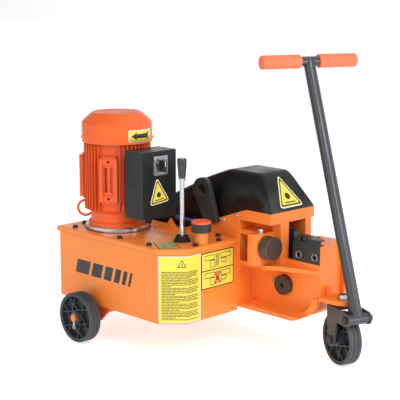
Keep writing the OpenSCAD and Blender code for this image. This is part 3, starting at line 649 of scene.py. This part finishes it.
bent("guide_plate_back", [(4, 136, 110, 303)], label_white, SKIN)
bent("guide_plate_face", [(6, 134, 112, 301)], label_yellow, SKIN + FACE_LIFT)
lines = []
chance = random.Random(5)
for row in range(31):
    height = 258 - row * 4.6
    left = 12
    right = 128 - (chance.uniform(20, 90) if row % 5 == 4 else chance.uniform(0, 6))
    while left < right - 3:
        stop = min(right, left + chance.uniform(5, 15))
        lines.append((left, stop, height - 1.1, height + 1.1))
        left = stop + 1.5
bent("guide_plate_lines", lines, print_brown, SKIN + PRINT_LIFT)
sign = facing(around(70, 271, SKIN + PRINT_LIFT), (1, 1, 0), (0, 0, 1))


def small_triangle(shape):
    ring_plate(shape, [(-13, 0), (13, 0), (0, 23)], [(-9.5, 2), (9.5, 2), (0, 18.6)], sign, 0.15)
    prism(shape, [(-1.2, 4), (1.2, 4), (1.2, 11), (-1.2, 11)], sign, 0.15)


piece("guide_plate_sign", small_triangle, label_black)

# Bordered plate with two plain diagrams of a bar between the jaws
diagram = facing(at(503, 180, 248), *FRONT)
plate("diagram_back", diagram, oblong(132, 107, 2), label_black)
plate("diagram_top", diagram, oblong(126, 49, 1, (0, 26)), label_yellow, lift=FACE_LIFT)
plate("diagram_bottom", diagram, oblong(126, 49, 1, (0, -26)), label_yellow, lift=FACE_LIFT)
LINE = 1.8
sketch = []
for v in (26, -26):
    for u0, u1, w0, w1 in ((-52, -12, 4, 18), (14, 52, 4, 18), (-30, -12, -18, 2), (16, 34, -10, 2)):
        across, up = (u0 + u1) / 2, v + (w0 + w1) / 2
        sketch += [oblong(u1 - u0, LINE, middle=(across, v + w0)), oblong(u1 - u0, LINE, middle=(across, v + w1)),
                   oblong(LINE, w1 - w0, middle=(u0, up)), oblong(LINE, w1 - w0, middle=(u1, up))]
    for shift in (-9, 1):
        sketch.append([(shift, v - 20), (shift + 2, v - 20), (shift + 6, v + 21), (shift + 4, v + 21)])
    for k in range(6):
        low = v - 17 + 6 * k
        sketch.append([(k * 0.6 - 7, low), (k * 0.6 + 2, low + 4), (k * 0.6 + 2, low + 6), (k * 0.6 - 7, low + 2)])
marks("diagram_lines", diagram, sketch, label_black)
cross = [[(-17, -44), (-10, -44), (17, -8), (10, -8)], [(10, -44), (17, -44), (-10, -8), (-17, -8)]]
marks("diagram_cross", diagram, cross, label_red, lift=TOP_LIFT)

# Plain slanted stripes on the tank's near wall
stripes = facing(at(205, 0, 214), *NEAR)
slant = []
start = -130
for width in (62, 46, 34, 24, 16, 10):
    slant.append([(start, -21), (start + width, -21), (start + width + 12, 21), (start + 12, 21)])
    start += width + 12
marks("side_stripes", stripes, slant, label_black, lift=0)

# Triangular plates on the switch box and on the front of the cover
triangle_sign("box_sign", facing(at(322, 122, 421), (0, 0.99, 0.1), (0, -0.1, 0.99)), 80, 80, -3)
(foot_x, foot_rise), (brow_x, brow_rise) = HOOD[:2]
front_slope = Vector((brow_x - foot_x, 0, brow_rise - foot_rise)).normalized()
triangle_sign("cover_sign", facing(at(627.5, 360, 421), (0, 1, 0), front_slope), 102, 104, -6)

# Lid plate beside the lever
lid_plate = facing(at(424, 55, 323), (0.86, -0.51, 0), (0.51, 0.86, 0))
plate("lid_plate_back", lid_plate, oblong(86, 60, 1.5), label_black)
plate("lid_plate", lid_plate, oblong(81, 55, 1.5), label_olive, lift=FACE_LIFT)
marks("lid_plate_lines", lid_plate, bars(-34, 34, 20, -20, 8, 2, 8), print_brown)

# Arrow plate wrapped on the fan cowl
COWL = Vector((131, 124))
COWL_RADIUS = 106.3
ARROW_TURN = 3
ARROW_HEIGHT = 612


def on_cowl(u, v, lift):
    """A point u mm round the cowl and v mm up from the middle of the arrow plate."""
    turn = (u / COWL_RADIUS) + math.radians(ARROW_TURN)
    reach = COWL_RADIUS + lift
    return at(COWL.x + reach * math.cos(turn), COWL.y + reach * math.sin(turn), ARROW_HEIGHT + v)


def wrapped(name, outlines, finish, lift):
    """Flat outlines wrapped on the cowl, each cut into strips so that it follows the curve."""
    def fill(shape):
        for outline in outlines:
            corners = [shape.verts.new((u, v, 0)) for u, v in outline]
            shape.faces.new(corners)
        for cut in range(-60, 61, 4):
            geometry = shape.verts[:] + shape.edges[:] + shape.faces[:]
            bmesh.ops.bisect_plane(shape, geom=geometry, plane_co=(cut, 0, 0), plane_no=(1, 0, 0))
        for vert in shape.verts:
            vert.co = on_cowl(vert.co.x, vert.co.y, lift)
    made = piece(name, fill, finish)
    depth = made.modifiers.new("depth", "SOLIDIFY")
    depth.thickness = BENT_THICK * MM
    depth.offset = 1
    return made


wrapped("arrow_back", [oblong(92, 36, 2)], label_white, 0.1)
wrapped("arrow_face", [oblong(87, 32, 1)], label_yellow, 0.4)
arrow = [(-37, 0), (-18, -12), (-20, -6), (20, -7), (31, -13), (28, 0), (33, 12), (20, 7), (-20, 6), (-18, 12)]
wrapped("arrow_mark", [arrow], label_black, 0.7)

# Dial marks round the rotary switch
dial = facing(at(324, 126, 533), *FRONT)
ticks = []
for turn in (-60, -30, 0, 30, 60):
    t = math.radians(90 + turn)
    across = Vector((-math.sin(t), math.cos(t)))
    along = Vector((math.cos(t), math.sin(t)))
    ticks.append([tuple(along * r + across * w) for r, w in ((20.5, -0.7), (25.5, -0.7), (25.5, 0.7), (20.5, 0.7))])
marks("dial_marks", dial, ticks, label_black, lift=0)
plate("knob_line", facing(at(343, 126, 540), *FRONT), oblong(2, 16, 0.6), label_white, body="switch")


# ---------------------------------------------------------------- welds, seals and small fittings

RIPPLE = 0.18


def bead(name, points, radius, finish):
    """A rippled weld bead along a path of places in mm."""
    path = [at(*p) for p in points]

    def fill(shape):
        rings = []
        for first, second in zip(path, path[1:]):
            along = (second - first).normalized()
            side = along.orthogonal().normalized()
            other = along.cross(side)
            steps = max(2, int((second - first).length / (radius * MM * 0.8)))
            for k in range(steps + 1):
                size = radius * MM * (1 + RIPPLE * math.sin(k * 2.1) + RIPPLE * random.uniform(-0.5, 0.5))
                if k in (0, steps):
                    size *= 0.5
                spot = first.lerp(second, k / steps)
                rings.append([shape.verts.new(spot + (side * math.cos(a) + other * math.sin(a)) * size)
                              for a in (2 * math.pi * j / 8 for j in range(8))])
        for one, two in zip(rings, rings[1:]):
            for j in range(8):
                shape.faces.new([one[j], one[(j + 1) % 8], two[(j + 1) % 8], two[j]])
        shape.faces.new(rings[0])
        shape.faces.new(rings[-1][::-1])
    return piece(name, fill, finish, smooth=60)


bead("weld_bracket_top", [(765, 320, 188), (765, 346, 188)], 2.6, cast_orange)
bead("weld_bracket_low", [(765, 320, 175), (765, 384, 175)], 2.6, cast_orange)
bead("weld_axle", [(104, 6, 106), (226, 6, 106)], 2.2, axle_orange)
bead("weld_channel", [(511.5, 324, 134), (511.5, 324, 246)], 3, cast_orange)
bead("weld_web", [(514, 324, 132.5), (702, 324, 132.5)], 2.6, cast_orange)
bead("weld_ledge", [(514, 324, 247), (758, 324, 247)], 2.6, cast_orange)
bead("tank_seam", [(443, 0, 108), (443, 0, 305)], 0.9, sheet_orange)


# Gasket under the motor's ring
def ring_gasket(shape):
    turned(shape, [(60, 0), (101, 0), (101.5, 0.8), (101, 1.6), (60, 1.6), (60, 0)],
           Matrix.Translation(at(131, 124, 322.9)), 96)


piece("ring_gasket", ring_gasket, rubber)


# Red top of the filler cap with a moulded rim
def cap_top(shape):
    place = Matrix.Translation(at(473, 144, 387))
    turned(shape, [(0, 0.4), (22, 0.4), (23, 1.4), (25.5, 1.8), (27.5, 1), (28.4, -0.6), (28.9, -3.5),
                   (29.2, -4), (29.2, -4.6), (20, -4.6), (20, -0.5), (0, -0.5)], place, 64)


piece("cap_top", cap_top, cap_red, "cap")


# Curved lifting rib behind the switch box
def rib(shape):
    place = facing(at(214, 196, 323), (0.96, 0.28, 0), (0, 0, 1))
    outline = [(0, 0), (84, 0), (84, 6), (76, 14), (66, 30), (60, 34), (56, 26), (46, 13), (28, 6), (0, 4)]
    prism(shape, outline, place, 5)


piece("lid_rib", rib, sheet_orange)


# Rubber bellows round the foot of the lever
def bellows(shape):
    rings = [(16.2, 0.2), (24, 0.2), (24.5, 2), (23.2, 3.6), (20.6, 4.4), (21.6, 6.5), (21.9, 7.6), (20, 8.6),
             (19, 9.6), (20, 11.4), (20.2, 12.2), (18.6, 13.2), (17.8, 14.4), (18.6, 16.2), (17.6, 18),
             (15.6, 18), (15.4, 8), (16.2, 0.2)]
    turned(shape, rings, Matrix.Translation(at(417, 122, 323)), 64)


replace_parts(piece("lever_bellows", bellows, rubber), "lever_boot")


# Lock nut and clevis pin of the lever
def lever_details(shape):
    base = at(417, 122, 0)
    turned(shape, [(0, 0), (4, 0), (4, 21), (0, 21)],
           Matrix.Translation(base + Vector((0, -10.5, 351)) * MM) @ Matrix.Rotation(-math.pi / 2, 4, "X"), 24)
    turned(shape, [(6.2, 0), (10.5, 0), (10.5, 7), (6.2, 8.5), (6.2, 0)],
           Matrix.Translation(base + Vector((0, 0, 500)) * MM), 6)


piece("lever_nut", lever_details, zinc, "lever")

# Bright rims round the holder's socket screws
def screw_rims(shape):
    for x in (684, 742):
        place = facing(at(x, 325, 296), *NEAR)
        turned(shape, [(8.7, 0), (10.4, 0), (10.4, 0.8), (9.6, 1.3), (8.7, 0.8), (8.7, 0)], place, 40)


piece("screw_rims", screw_rims, zinc)


# Split pins that keep the wheels on the rear axle
def split_pins(shape):
    for y in (-68, 521):
        for lean in (-0.12, 0.16):
            downward = Matrix.Rotation(lean, 4, "Y") @ Matrix.Rotation(math.pi, 4, "X")
            place = Matrix.Translation(at(148, y, 75)) @ downward
            turned(shape, [(0, -14), (1.5, -14), (1.5, 34), (0, 34)], place, 10)


piece("split_pins", split_pins, zinc)
